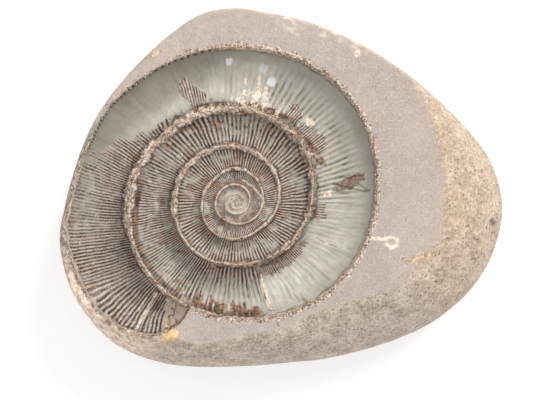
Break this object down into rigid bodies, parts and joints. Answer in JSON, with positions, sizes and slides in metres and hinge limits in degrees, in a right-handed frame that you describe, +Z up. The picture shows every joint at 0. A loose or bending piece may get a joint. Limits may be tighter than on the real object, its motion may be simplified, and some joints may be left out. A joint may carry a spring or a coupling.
{
  "type": "ammonite fossil",
  "caption": "Half of a split stone nodule, lying on its worn side, with a finely ribbed spiral ammonite set as hollow troughs in its flat upper face.",
  "frame": {"origin": "centre of the part's box at its bottom, on the worn flat patch under the stone", "axes": "+Z up out of the split face that holds the fossil, +X along the stone's length towards its bare rounded end"},
  "size_m": [0.1114, 0.0902, 0.0342],
  "materials": {
    "nodule_stone": "rough",
    "shell_mineral": "satin"
  },
  "bodies": {
    "root": {"nodule": "nodule_stone", "ammonite": "shell_mineral"}
  },
  "joints": []
}
